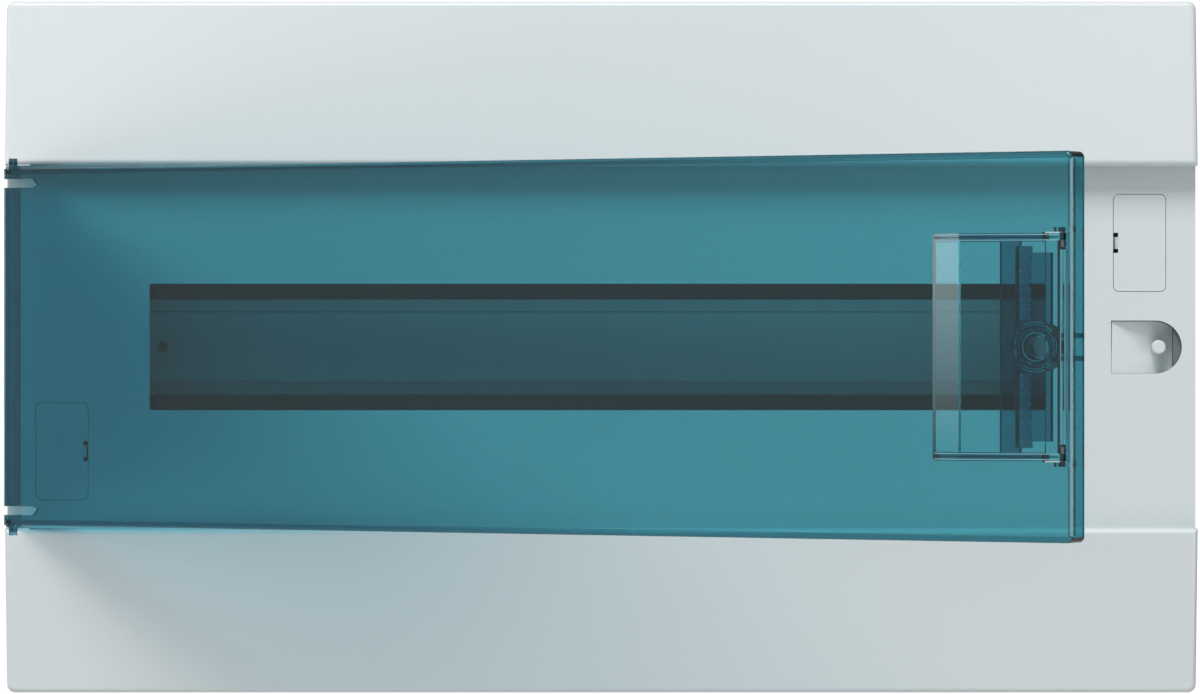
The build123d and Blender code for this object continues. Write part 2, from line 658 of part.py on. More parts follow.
        # A notch in the boss for each arm of the handle's hook to swing into.
        with BuildSketch(door_plane(BACK + 1)):
            with at((NOTCH_LEFT + BOSS_U + BOSS_RADIUS + 1) / 2, side * ARM_MIDDLE):
                Rectangle(BOSS_U + BOSS_RADIUS + 1 - NOTCH_LEFT, ARM_THICK + 2 * NOTCH_CLEAR)
        extrude(amount=BACK + 1 - BOSS_FRONT, mode=Mode.SUBTRACT)
        with BuildSketch(door_plane(LUG_BACK)):
            with at((LUG_LEFT + LUG_RIGHT) / 2, side * (pivot_tall + LUG_THICK) / 2):
                Rectangle(LUG_RIGHT - LUG_LEFT, LUG_THICK)
        extrude(amount=LUG_BACK - FRONT - DOOR_WALL + 0.5)
        with BuildSketch(door_section(side * (pivot_tall / 2 - 0.1))):
            with Locations((PIVOT_U, PIVOT_V)):
                Circle(PIN_HEAD)
        extrude(amount=side * LUG_THICK, mode=Mode.SUBTRACT)

with BuildPart() as lock_blank:
    with BuildSketch(door_plane(BACK)):
        with at(BOSS_U, 0):
            Circle(BOSS_BORE)
            Circle(LOCK_HOLE, mode=Mode.SUBTRACT)
    extrude(amount=BACK - BOSS_FRONT - LOCK_SET_BACK)
    with BuildSketch(door_plane(LOCK_FLOOR + BOSS_FRONT)):
        with at(BOSS_U, 0):
            Circle(LOCK_RECESS)
    extrude(amount=LOCK_FLOOR + 1, mode=Mode.SUBTRACT)

# ================================================================ handle with its hook, pins and springs
with BuildPart() as door_handle:
    with BuildSketch(door_section(-HANDLE_TALL / 2)):
        with BuildLine():
            Polyline(
                HANDLE_TIP,
                HANDLE_CREST,
                (PIVOT_U, FRONT),
                (PIVOT_U, PIVOT_V),
                (PIVOT_U, PIVOT_V + BARREL),
                (CHEEK_END, PIVOT_V + BARREL),
                (CHEEK_END, FRONT - CHEEK_CLEAR),
                (HANDLE_TIP[0] + HANDLE_WALL, FRONT - CHEEK_CLEAR),
                close=True,
            )
        make_face()
    extrude(amount=HANDLE_TALL)
    tip_edges = door_handle.faces().sort_by(Axis(HINGE, OPEN))[0].edges()
    fillet(tip_edges.filter_by(Axis.Z, reverse=True), HANDLE_ROUND)
    # The hollow under the plate: its top follows the bevel and the slope a wall's thickness below them.
    inner_tall = HANDLE_TALL - 2 * CHEEK
    bevel_slope = (HANDLE_CREST[1] - HANDLE_TIP[1]) / (HANDLE_CREST[0] - HANDLE_TIP[0])
    hollow_left = HANDLE_TIP[0] - HANDLE_WALL
    hollow_crest = HANDLE_CREST[1] + HANDLE_WALL
    hollow_tip = hollow_crest + bevel_slope * (hollow_left - HANDLE_CREST[0])
    with BuildSketch(door_section(-inner_tall / 2)):
        with BuildLine():
            Polyline(
                (hollow_left, hollow_tip),
                (HANDLE_CREST[0], hollow_crest),
                (PIVOT_U, FRONT + HANDLE_WALL),
                (PIVOT_U, BACK),
                (hollow_left, BACK),
                close=True,
            )
        make_face()
    extrude(amount=inner_tall, mode=Mode.SUBTRACT)
    with BuildSketch(door_section(-BARREL_END)):
        with Locations((PIVOT_U, PIVOT_V)):
            Circle(BARREL)
    extrude(amount=2 * BARREL_END)
    # A groove for each spring, the barrel's ends, and two hook arms that pass either side of the stud and
    # catch under the pocket's ledge.
    for side in (-1, 1):
        with BuildSketch(door_section(side * BARREL_END)):
            with Locations((PIVOT_U, PIVOT_V)):
                Circle(SPRING_OUTER + SPRING_CLEAR)
        extrude(amount=side * (inner_tall / 2 - BARREL_END), mode=Mode.SUBTRACT)
        with BuildSketch(door_section(side * inner_tall / 2)):
            with Locations((PIVOT_U, PIVOT_V)):
                Circle(BARREL)
        extrude(amount=side * CHEEK)
        with BuildSketch(door_section(side * (ARM_MIDDLE - ARM_THICK / 2))):
            with BuildLine():
                Polyline(
                    (ARM_LEFT, PIVOT_V - BARREL / 2),
                    (PIVOT_U, PIVOT_V),
                    (ARM_RIGHT, PIVOT_V + 2 * BARREL),
                    (ARM_RIGHT, NOSE_TOP),
                    (NOSE_U, NOSE_TOP),
                    (NOSE_U, NOSE_LOW),
                    (ARM_RIGHT, ARM_END),
                    (ARM_LEFT, ARM_END),
                    close=True,
                )
            make_face()
        extrude(amount=side * ARM_THICK)
        with BuildSketch(door_section(side * SPIGOT_END)):
            with Locations((PIVOT_U, PIVOT_V)):
                Circle(SPIGOT + SPIGOT_CLEAR)
        extrude(amount=side * HANDLE_TALL, mode=Mode.SUBTRACT)

with BuildPart() as handle_pins:
    for side in (-1, 1):
        with BuildSketch(door_section(side * SPIGOT_END)):
            with Locations((PIVOT_U, PIVOT_V)):
                Circle(SPIGOT)
        extrude(amount=side * (pivot_tall / 2 - SPIGOT_END))
        with BuildSketch(door_section(side * pivot_tall / 2)):
            with Locations((PIVOT_U, PIVOT_V)):
                Circle(PIN_HEAD)
        extrude(amount=side * PIN_HEAD_LONG)

# Close-wound torsion springs round the pins, drawn as the outline of their turns.
with BuildPart() as handle_springs:
    for side in (-1, 1):
        for turn in range(SPRING_TURNS):
            with BuildSketch(door_section(side * (SPRING_START + SPRING_WIRE * turn))):
                with Locations((PIVOT_U, PIVOT_V)):
                    Circle(SPRING_OUTER if turn % 2 == 0 else SPRING_WAIST)
                    Circle(SPRING_INNER, mode=Mode.SUBTRACT)
            extrude(amount=side * SPRING_WIRE)

# ================================================================ rail on its supports
with BuildPart() as din_rail:
    with BuildSketch(Plane.YZ.offset(-RAIL_LONG / 2)):
        web_back = RAIL_FRONT - RAIL_DEEP
        for side in (-1, 1):
            with Locations((-RAIL_FRONT + RAIL_SHEET / 2, side * (RAIL_WIDE - RAIL_LIP) / 2)):
                Rectangle(RAIL_SHEET, RAIL_LIP)
            with Locations((-RAIL_FRONT + RAIL_DEEP / 2, side * (RAIL_CHANNEL - RAIL_SHEET) / 2)):
                Rectangle(RAIL_DEEP, RAIL_SHEET)
        with Locations((-web_back - RAIL_SHEET / 2, 0)):
            Rectangle(RAIL_SHEET, RAIL_CHANNEL)
    extrude(amount=RAIL_LONG)
    with BuildSketch(front_plane(RAIL_FRONT - RAIL_DEEP)):
        with Locations((-RAIL_HOLE_X, 0), (RAIL_HOLE_X, 0), (-SUPPORT_X, 0), (SUPPORT_X, 0)):
            Circle(RAIL_HOLE)
    extrude(amount=RAIL_DEEP, mode=Mode.SUBTRACT)


def rail_support(x):
    """A hollow moulded trestle with a foot screwed to two bosses and a top that the rail is screwed to."""
    top = RAIL_FRONT - RAIL_DEEP
    with BuildPart() as support:
        with BuildSketch(Plane.YZ.offset(x - SUPPORT_WIDE / 2)):
            with BuildLine():
                Polyline(
                    (-FOOT_HEIGHT, -SUPPORT_FOOT / 2),
                    (-FOOT_HEIGHT, SUPPORT_FOOT / 2),
                    (-FOOT_HEIGHT - FOOT_THICK, SUPPORT_FOOT / 2),
                    (-FOOT_HEIGHT - FOOT_THICK, SUPPORT_FOOT / 4),
                    (-top, RAIL_CHANNEL / 2 - 1),
                    (-top, -RAIL_CHANNEL / 2 + 1),
                    (-FOOT_HEIGHT - FOOT_THICK, -SUPPORT_FOOT / 4),
                    (-FOOT_HEIGHT - FOOT_THICK, -SUPPORT_FOOT / 2),
                    close=True,
                )
            make_face()
            with BuildLine():
                Polyline(
                    (-FOOT_HEIGHT - FOOT_THICK, SUPPORT_FOOT / 4 - SUPPORT_WALL),
                    (-top + SUPPORT_ROOF, RAIL_CHANNEL / 2 - SUPPORT_WALL - 1),
                    (-top + SUPPORT_ROOF, -RAIL_CHANNEL / 2 + SUPPORT_WALL + 1),
                    (-FOOT_HEIGHT - FOOT_THICK, -SUPPORT_FOOT / 4 + SUPPORT_WALL),
                    close=True,
                )
            make_face(mode=Mode.SUBTRACT)
        extrude(amount=SUPPORT_WIDE)
        with BuildSketch(front_plane(FOOT_HEIGHT)):
            with Locations((x, -FOOT_HOLE_Z), (x, FOOT_HOLE_Z)):
                Circle(FOOT_HOLE)
        extrude(amount=FOOT_THICK, mode=Mode.SUBTRACT)
        with BuildSketch(front_plane(top - PAN_LONG)):
            with at(x, 0):
                Circle(BOSS_HOLE)
        extrude(amount=PAN_LONG, mode=Mode.SUBTRACT)
    return support


rail_support_left = rail_support(-SUPPORT_X)
rail_support_right = rail_support(SUPPORT_X)


def pan_screws(places, seat):
    """Slotted pan-head screws at these places, their heads on the height seat."""
    with BuildPart() as screws:
        with BuildSketch(front_plane(seat)):
            with Locations(*places):
                Circle(PAN_RADIUS)
        extrude(amount=PAN_TALL)
        fillet(screws.faces().sort_by(Axis.Y)[:len(places)].edges(), PAN_ROUND)
        with BuildSketch(front_plane(seat + PAN_TALL - PAN_SLOT_DEEP)):
            with Locations(*places):
                Rectangle(2 * PAN_RADIUS + 1, PAN_SLOT)
        extrude(amount=2 * PAN_SLOT_DEEP, mode=Mode.SUBTRACT)
        with BuildSketch(front_plane(seat - PAN_LONG)):
            with Locations(*places):
                Circle(PAN_SHANK)
        extrude(amount=PAN_LONG)
    return screws


rail_screws = pan_screws([(-SUPPORT_X, 0), (SUPPORT_X, 0)], RAIL_FRONT - RAIL_DEEP + RAIL_SHEET)
support_screws = pan_screws(foot_places, FOOT_HEIGHT + FOOT_THICK)

# ================================================================ terminal bars on their holders
bar_seat = BAR_HEIGHT - BAR_DEEP


def terminal_bar(x, z):
    """A brass bar with a row of threaded clamp holes crossed by wire holes."""
    columns = [(x + BAR_PITCH * (step - (BAR_SCREWS - 1) / 2), z) for step in range(BAR_SCREWS)]
    with BuildPart() as bar:
        with BuildSketch(front_plane(bar_seat)):
            with at(x, z):
                Rectangle(BAR_LONG, BAR_TALL)
        extrude(amount=BAR_DEEP)
        with BuildSketch(front_plane(bar_seat + BAR_BASE)):
            with Locations(*columns):
                Circle(CLAMP_RADIUS)
        extrude(amount=BAR_DEEP, mode=Mode.SUBTRACT)
        with BuildSketch(Plane.XY.offset(z - BAR_TALL / 2)):
            with Locations(*[(column, -bar_seat - WIRE_HEIGHT) for column, row in columns]):
                Circle(WIRE_HOLE)
        extrude(amount=BAR_TALL, mode=Mode.SUBTRACT)
    with BuildPart() as clamps:
        with BuildSketch(front_plane(bar_seat + CLAMP_SEAT)):
            with Locations(*columns):
                Circle(CLAMP_RADIUS)
        extrude(amount=BAR_DEEP - CLAMP_SEAT)
        with BuildSketch(front_plane(BAR_HEIGHT)):
            with Locations(*columns):
                Circle(CLAMP_HEAD)
                Rectangle(2 * CLAMP_HEAD + 1, CLAMP_SLOT, mode=Mode.SUBTRACT)
        extrude(amount=CLAMP_HEAD_TALL)
        with BuildSketch(front_plane(BAR_HEIGHT)):
            with Locations(*columns):
                Circle(CLAMP_HEAD)
        extrude(amount=CLAMP_HEAD_SOLID)
    return bar, clamps


def bar_holders(x, z):
    """Two insulating posts under a terminal bar, each with a foot on a base boss."""
    places = [(x - HOLDER_SPAN / 2, z), (x + HOLDER_SPAN / 2, z)]
    with BuildPart() as holders:
        with BuildSketch(front_plane(FOOT_HEIGHT)):
            with Locations(*places):
                Rectangle(HOLDER_WIDE, HOLDER_TALL)
        extrude(amount=bar_seat - FOOT_HEIGHT)
        with BuildSketch(front_plane(FOOT_HEIGHT)):
            with Locations(*places):
                Circle(FOOT_HOLE)
        extrude(amount=bar_seat - FOOT_HEIGHT, mode=Mode.SUBTRACT)
        with BuildSketch(front_plane(FOOT_HEIGHT + FOOT_THICK)):
            with Locations(*places):
                Circle(HOLDER_WELL)
        extrude(amount=bar_seat - FOOT_HEIGHT, mode=Mode.SUBTRACT)
        # Jaws that clip the bar from above and below.
        with BuildSketch(front_plane(bar_seat - 1)):
            with Locations(*places):
                with GridLocations(1, BAR_TALL + JAW, 1, 2):
                    Rectangle(JAW_WIDE, JAW)
        extrude(amount=BAR_DEEP + 1)
    return holders


neutral_bar, neutral_bar_screws = terminal_bar(-BAR_X, BAR_Z)
earth_bar, earth_bar_screws = terminal_bar(BAR_X, -BAR_Z)
neutral_bar_holders = bar_holders(-BAR_X, BAR_Z)
earth_bar_holders = bar_holders(BAR_X, -BAR_Z)
holder_screws = pan_screws(holder_places, FOOT_HEIGHT + FOOT_THICK)

# ================================================================ output
pieces = {
    "base_box": base_box,
    "cover_gasket": cover_gasket,
    "front_cover": front_cover,
    "wall_screw_plugs": wall_screw_plugs,
    "din_rail": din_rail,
    "rail_support_left": rail_support_left,
    "rail_support_right": rail_support_right,
    "rail_screws": rail_screws,
    "support_screws": support_screws,
    "neutral_bar": neutral_bar,
    "neutral_bar_screws": neutral_bar_screws,
    "neutral_bar_holders": neutral_bar_holders,
    "earth_bar": earth_bar,
    "earth_bar_screws": earth_bar_screws,
    "earth_bar_holders": earth_bar_holders,
    "holder_screws": holder_screws,
    "cover_screw_seals": cover_screw_seals,
    "cover_screw_upper": cover_screw_upper,
    "cover_screw_lower": cover_screw_lower,
    "screw_cap_upper": screw_cap_upper,
    "screw_cap_lower": screw_cap_lower,
    "door": door,
    "lock_blank": lock_blank,
    "door_handle": door_handle,
    "handle_pins": handle_pins,
    "handle_springs": handle_springs,
}
os.makedirs("parts", exist_ok=True)
for name, piece in pieces.items():
    piece.part.label = name
    export_step(piece.part, f"parts/{name}.step")
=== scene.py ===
# %% [markdown]
# # A distribution board with a tinted clear door
# The engineering model gives every part at its real size and place. This lesson gives each of them the
# surface it has on the real thing: fine-grained grey mouldings, a petrol-blue clear door, a zinc-plated
# rail, brass bars. Lengths are metres, X points right, Y into the wall and Z up.

# %% Load the frame
import json
import math

import bpy
import numpy as np
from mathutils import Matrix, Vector


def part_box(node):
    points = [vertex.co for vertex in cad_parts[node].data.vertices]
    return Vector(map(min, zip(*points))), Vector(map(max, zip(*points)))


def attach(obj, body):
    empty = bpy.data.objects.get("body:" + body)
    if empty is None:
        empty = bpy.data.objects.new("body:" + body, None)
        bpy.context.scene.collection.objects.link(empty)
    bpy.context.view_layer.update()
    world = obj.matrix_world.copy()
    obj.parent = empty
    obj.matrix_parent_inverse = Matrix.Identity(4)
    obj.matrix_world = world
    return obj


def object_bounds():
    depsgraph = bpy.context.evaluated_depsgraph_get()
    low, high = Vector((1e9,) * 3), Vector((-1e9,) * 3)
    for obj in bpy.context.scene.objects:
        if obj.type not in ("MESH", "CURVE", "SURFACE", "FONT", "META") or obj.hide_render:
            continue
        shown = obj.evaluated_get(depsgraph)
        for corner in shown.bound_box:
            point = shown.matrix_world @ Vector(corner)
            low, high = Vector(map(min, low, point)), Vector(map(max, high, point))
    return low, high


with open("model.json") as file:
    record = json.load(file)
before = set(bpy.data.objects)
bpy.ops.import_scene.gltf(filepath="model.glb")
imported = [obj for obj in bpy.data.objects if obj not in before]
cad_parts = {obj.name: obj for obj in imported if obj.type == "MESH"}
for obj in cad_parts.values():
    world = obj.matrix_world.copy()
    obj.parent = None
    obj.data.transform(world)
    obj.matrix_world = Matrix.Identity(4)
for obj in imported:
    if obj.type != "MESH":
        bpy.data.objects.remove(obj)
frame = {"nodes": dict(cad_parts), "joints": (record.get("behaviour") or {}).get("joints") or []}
cad_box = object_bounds()
nodes = frame["nodes"]
print("nodes:", len(nodes), "box:", [tuple(round(v, 4) for v in corner) for corner in cad_box])

# %% [markdown]
# ## Measures taken from the frame
# The places that later cells start from are worked out from the frame: the recessed band of the cover from
# the boxes of the parts, and the hinge line of the door and the angle at which the door stands from its
# joints.

# %% Places
cover_low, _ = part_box("front_cover")
_, base_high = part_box("base_box")
rail_low, rail_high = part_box("din_rail")
cap_low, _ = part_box("screw_cap_upper")
joints = {joint["name"]: joint for joint in frame["joints"]}
hinge = Vector(joints["door_hinge"]["pos_m"])
pivot = Vector(joints["handle_pull"]["pos_m"])
open_angle = -math.radians(joints["door_hinge"]["range_deg"][0])
front_y = cover_low.y
band_y = cap_low.y
print("front plane", round(front_y, 4), "band floor", round(band_y, 4), "back plane", round(base_high.y, 4))
print("door open", round(math.degrees(open_angle), 1), "degrees")

# %% [markdown]
# ## Helpers for materials
# A material is a small graph of nodes. These helpers keep each recipe short: one makes the graph with its
# Principled shader, and the others add a node and join two sockets.

# %% Material helpers
def new_material(name):
    """An empty node material, its node tree, its Principled shader and its output node."""
    material = bpy.data.materials.new(name)
    material.use_nodes = True
    tree = material.node_tree
    tree.nodes.clear()
    output = tree.nodes.new("ShaderNodeOutputMaterial")
    shader = tree.nodes.new("ShaderNodeBsdfPrincipled")
    tree.links.new(shader.outputs["BSDF"], output.inputs["Surface"])
    return material, tree, shader, output


def add_node(tree, kind, inputs=None, **settings):
    """A node of this kind with its settings and unlinked inputs filled in."""
    node = tree.nodes.new(kind)
    for key, value in settings.items():
        setattr(node, key, value)
    for key, value in (inputs or {}).items():
        node.inputs[key].default_value = value
    return node


def noise(tree, scale, detail=2.0, roughness=0.5):
    """A noise pattern in object space; scale is how many features there are to a metre."""
    place = add_node(tree, "ShaderNodeTexCoord")
    pattern = add_node(tree, "ShaderNodeTexNoise", {"Scale": scale, "Detail": detail, "Roughness": roughness})
    tree.links.new(place.outputs["Object"], pattern.inputs["Vector"])
    return pattern.outputs["Fac"]


def remap(tree, value, low, high):
    """The value 0..1 stretched to low..high."""
    node = add_node(tree, "ShaderNodeMapRange", {"To Min": low, "To Max": high})
    tree.links.new(value, node.inputs["Value"])
    return node.outputs["Result"]


def tint(tree, value, dark, light):
    """A colour between dark and light, chosen by the value."""
    ramp = add_node(tree, "ShaderNodeValToRGB")
    ramp.color_ramp.elements[0].color = (*dark, 1)
    ramp.color_ramp.elements[1].color = (*light, 1)
    tree.links.new(value, ramp.inputs["Fac"])
    return ramp.outputs["Color"]


def bump(tree, shader, height, distance, strength=1.0):
    """Tilts the shader's normal as if the surface stood up to distance metres proud where height is 1."""
    node = add_node(tree, "ShaderNodeBump", {"Distance": distance, "Strength": strength})
    tree.links.new(height, node.inputs["Height"])
    tree.links.new(node.outputs["Normal"], shader.inputs["Normal"])


# %% [markdown]
# ## Grey moulded plastic
# Housings like this are moulded in a spark-eroded tool, so the skin has a fine grain that kills sharp
# reflections. Two noises do it: a very fine one tilts the normal, and a broad faint one shifts the colour
# and the roughness so that large faces aren't dead flat.

# %% Grey housing
def moulded_plastic(name, colour, roughness, grain=0.000012, drift=0.012):
    """A satin moulding: colour with a broad faint drift, fine grain in the normal and the roughness."""
    material, tree, shader, _ = new_material(name)
    broad = noise(tree, 9.0, 3.0)
    dark = tuple(c * (1 - drift) for c in colour)
    light = tuple(min(1.0, c * (1 + drift)) for c in colour)
    tree.links.new(tint(tree, broad, dark, light), shader.inputs["Base Color"])
    fine = noise(tree, 2600.0, 2.0, 0.6)
    tree.links.new(remap(tree, fine, roughness - 0.05, roughness + 0.05), shader.inputs["Roughness"])
    bump(tree, shader, fine, grain, 0.5)
    shader.inputs["IOR"].default_value = 1.5
    return material


GREY = (0.600, 0.640, 0.650)
grey_housing = moulded_plastic("grey_housing_moulding", GREY, 0.42)
support_plastic = moulded_plastic("dark_support_moulding", (0.055, 0.06, 0.065), 0.5)
screw_plastic = moulded_plastic("screw_moulding", (0.50, 0.53, 0.54), 0.32)
neutral_blue = moulded_plastic("neutral_holder_blue", (0.03, 0.11, 0.42), 0.38)
earth_green = moulded_plastic("earth_holder_green", (0.03, 0.22, 0.07), 0.38)
print("moulded plastics:", 5)

# %% [markdown]
# ## Petrol-blue clear plastic
# Clear plastic takes its colour from depth: the longer the way through it, the deeper the colour, so edges
# go dark and faces stay light. Most of the tint here sits on the two faces of the sheet and only a little
# in Volume Absorption, which keeps the edges a mid petrol and not black. For lamps the surface steps aside
# (a transparent shader on shadow rays), so the door throws a soft tinted shadow.

# %% Tinted clear plastic
def clear_plastic(name, face, shade, passed, density, roughness):
    """Clear plastic: face is what both faces of a sheet let through, shade the same for lamps.

    Over a way of d metres a colour channel also keeps exp(-density * (1 - passed) * d) of its light."""
    material, tree, shader, output = new_material(name)
    shader.inputs["Base Color"].default_value = (*face, 1)
    shader.inputs["Transmission Weight"].default_value = 1.0
    shader.inputs["IOR"].default_value = 1.49
    waves = noise(tree, 45.0, 1.0)
    tree.links.new(remap(tree, waves, roughness, roughness * 1.8), shader.inputs["Roughness"])
    bump(tree, shader, waves, 0.000004, 0.3)
    path = add_node(tree, "ShaderNodeLightPath")
    open_way = add_node(tree, "ShaderNodeBsdfTransparent", {"Color": (*shade, 1)})
    mix = add_node(tree, "ShaderNodeMixShader")
    tree.links.new(path.outputs["Is Shadow Ray"], mix.inputs["Fac"])
    tree.links.new(shader.outputs["BSDF"], mix.inputs[1])
    tree.links.new(open_way.outputs["BSDF"], mix.inputs[2])
    tree.links.new(mix.outputs["Shader"], output.inputs["Surface"])
    depth = add_node(tree, "ShaderNodeVolumeAbsorption", {"Color": (*passed, 1), "Density": density})
    tree.links.new(depth.outputs["Volume"], output.inputs["Volume"])
    return material


FACE = (0.075, 0.42, 0.50)
LEVER = (0.070, 0.40, 0.48)
SHADE = (0.24, 0.50, 0.55)
PASSED = (0.0, 0.43, 0.52)
tinted_clear = clear_plastic("petrol_clear_door", FACE, SHADE, PASSED, 105.0, 0.008)
tinted_lever = clear_plastic("petrol_clear_handle", LEVER, SHADE, PASSED, 40.0, 0.015)
lock_clear = clear_plastic("clear_lock_ring", (0.10, 0.34, 0.40), (0.9, 0.95, 0.95), PASSED, 40.0, 0.02)
print("clear plastics:", 3)

# %% [markdown]
# ## Metals
# The rail is zinc-plated steel drawn through rolls, so its grain runs along it. The bars are drawn brass,
# and the small fasteners are bright zinc. All are the same recipe: a metal whose roughness and normal
# follow a noise that is stretched along the direction of drawing.

# %% Drawn metals
def drawn_metal(name, colour, roughness, stretch=(1, 1, 1), grain=0.000008, metallic=1.0):
    """A metal with fine lines along the axis whose stretch is small, and slight cloudy staining."""
    material, tree, shader, _ = new_material(name)
    shader.inputs["Metallic"].default_value = metallic
    place = add_node(tree, "ShaderNodeTexCoord")
    mapping = add_node(tree, "ShaderNodeMapping", {"Scale": stretch})
    lines = add_node(tree, "ShaderNodeTexNoise", {"Scale": 1500.0, "Detail": 2.0})
    tree.links.new(place.outputs["Object"], mapping.inputs["Vector"])
    tree.links.new(mapping.outputs["Vector"], lines.inputs["Vector"])
    spread = remap(tree, lines.outputs["Fac"], roughness - 0.08, roughness + 0.08)
    tree.links.new(spread, shader.inputs["Roughness"])
    clouds = noise(tree, 70.0, 3.0)
    dark = tuple(c * 0.9 for c in colour)
    tree.links.new(tint(tree, clouds, dark, colour), shader.inputs["Base Color"])
    bump(tree, shader, lines.outputs["Fac"], grain, 0.4)
    return material


zinc_rail = drawn_metal("zinc_plated_rail", (0.88, 0.90, 0.91), 0.5, (0.02, 1, 1), metallic=0.2)
bright_zinc = drawn_metal("bright_zinc_screw", (0.60, 0.60, 0.58), 0.3)
pin_steel = drawn_metal("dark_pin_steel", (0.22, 0.22, 0.23), 0.35)
bar_brass = drawn_metal("drawn_bar_brass", (0.72, 0.50, 0.20), 0.32, (0.02, 1, 1))
print("metals:", 4)

# %% [markdown]
# ## Seal foam
# The seals are closed-cell foam: nearly black, dull, with a pitted skin.

# %% Seal foam
def seal_foam_skin():
    """Dull black foam with small pits."""
    material, tree, shader, _ = new_material("seal_foam_skin")
    cells = noise(tree, 1400.0, 3.0, 0.7)
    tree.links.new(tint(tree, cells, (0.012, 0.012, 0.013), (0.03, 0.03, 0.032)), shader.inputs["Base Color"])
    shader.inputs["Roughness"].default_value = 0.85
    bump(tree, shader, cells, 0.00008, 0.7)
    return material


seal_foam = seal_foam_skin()

# %% Give each part its material
finishes = {
    "base_box": grey_housing,
    "front_cover": grey_housing,
    "wall_screw_plugs": grey_housing,
    "screw_cap_upper": grey_housing,
    "screw_cap_lower": grey_housing,
    "cover_gasket": seal_foam,
    "cover_screw_seals": seal_foam,
    "cover_screw_upper": screw_plastic,
    "cover_screw_lower": screw_plastic,
    "din_rail": zinc_rail,
    "rail_support_left": support_plastic,
    "rail_support_right": support_plastic,
    "rail_screws": bright_zinc,
    "support_screws": bright_zinc,
    "holder_screws": bright_zinc,
    "neutral_bar": bar_brass,
    "earth_bar": bar_brass,
    "neutral_bar_screws": bright_zinc,
    "earth_bar_screws": bright_zinc,
    "neutral_bar_holders": neutral_blue,
    "earth_bar_holders": earth_green,
    "door": tinted_clear,
    "door_handle": tinted_lever,
    "lock_blank": lock_clear,
    "handle_pins": pin_steel,
    "handle_springs": pin_steel,
}
for name, material in finishes.items():
    slots = nodes[name].data.materials
    slots.clear()
    slots.append(material)
print("finished parts:", len(finishes), "of", len(nodes))

# %% [markdown]
# ## Soft edges on the clear parts, smooth shading on every moulding
# No moulded or pressed part has a knife edge, and it's the small rounded edges that catch the light. The
# parts come as loose triangles, so a Weld joins them first; on the door, the handle and the lock blank a
# Bevel then rounds the edges that turn by more than 35 degrees; and a small geometry-node group shades gentle
# turns smooth and keeps real edges crisp. The clear parts count as gentle only turns below 25 degrees, and
# Weighted Normal gives each large flat face its own true normal, so that clear faces don't act as lenses.

# %% Smooth by angle
def smooth_by_angle(degrees):
    """A node group that shades smooth and marks sharp the edges that turn by more than this angle."""
    group = bpy.data.node_groups.new("smooth_by_angle", "GeometryNodeTree")
    group.interface.new_socket("Geometry", in_out="INPUT", socket_type="NodeSocketGeometry")
    group.interface.new_socket("Geometry", in_out="OUTPUT", socket_type="NodeSocketGeometry")
    start = group.nodes.new("NodeGroupInput")
    end = group.nodes.new("NodeGroupOutput")
    faces = add_node(group, "GeometryNodeSetShadeSmooth", domain="FACE")
    edges = add_node(group, "GeometryNodeSetShadeSmooth", domain="EDGE")
    angle = add_node(group, "GeometryNodeInputMeshEdgeAngle")
    gentle = add_node(group, "FunctionNodeCompare", data_type="FLOAT", operation="LESS_EQUAL")
    gentle.inputs["B"].default_value = math.radians(degrees)
    group.links.new(start.outputs["Geometry"], faces.inputs["Geometry"])
    group.links.new(faces.outputs["Geometry"], edges.inputs["Geometry"])
    group.links.new(angle.outputs["Unsigned Angle"], gentle.inputs["A"])
    group.links.new(gentle.outputs["Result"], edges.inputs["Shade Smooth"])
    group.links.new(edges.outputs["Geometry"], end.inputs["Geometry"])
    return group


mould_smoother = smooth_by_angle(32)
clear_smoother = smooth_by_angle(25)


def soften(name, width, smoother):
    """Weld the node's triangles, round its edges to this width in metres, and shade it smooth by angle."""
    part = nodes[name]
    weld = part.modifiers.new("weld", "WELD")
    weld.merge_threshold = 0.000004
    if width > 0:
        bevel = part.modifiers.new("edges", "BEVEL")
        bevel.width = width
        bevel.segments = 3
        bevel.limit_method = "ANGLE"
        bevel.angle_limit = math.radians(35)
        bevel.use_clamp_overlap = True
    shade = part.modifiers.new("shade", "NODES")
    shade.node_group = smoother
    normals = part.modifiers.new("normals", "WEIGHTED_NORMAL")
    normals.keep_sharp = True
    normals.weight = 100


edge_widths = {
    "door": 0.0003,
    "door_handle": 0.00035,
    "lock_blank": 0.00015,
}
for name in nodes:
    soften(name, edge_widths.get(name, 0.0), clear_smoother if name in edge_widths else mould_smoother)
print("softened parts:", len(nodes))

# %% [markdown]
# ## Small features of the latch
# The wall of the latch bay has two rows of tiny moulded nubs, the floor of the bay a third, and the lock
# sits in a rim. They ride on the door, so each is made in the door's own directions: u runs along the
# door from the hinge, v through it towards the wall, z up.

# %% Door directions
along = Vector((math.cos(open_angle), -math.sin(open_angle), 0))
inward = Vector((math.sin(open_angle), math.cos(open_angle), 0))
upward = Vector((0, 0, 1))
print("handle pivot", round((pivot - hinge).dot(along) * 1000, 1), "mm from the hinge")

# %% [markdown]
# ## Thin added pieces
# Every piece that is added to the parts is a closed mesh: a bead that runs round on itself, or a grid of
# points that Solidify turns into a thin skin. Each is worked out in world space and then given the body it
# rides on. Numpy works out all the points of a piece at once, so a row of nubs is one mesh and not dozens.

# %% Mesh helpers
SKIN = 0.00002


def outward(points, faces):
    """The faces of closed meshes, turned round if the volume they enclose comes out negative.

    That volume is the sum over the faces of first corner . (second x third + third x fourth) / 6."""
    one, two, three, four = (points[faces[:, corner]] - points.mean(axis=0) for corner in range(4))
    volume = np.sum(one * (np.cross(two, three) + np.cross(three, four)))
    return faces if volume > 0 else faces[:, ::-1]


def grid_faces(index):
    """The four-cornered faces between the rows and columns of an array of point numbers."""
    return np.stack([index[:-1, :-1], index[:-1, 1:], index[1:, 1:], index[1:, :-1]], axis=-1).reshape(-1, 4)


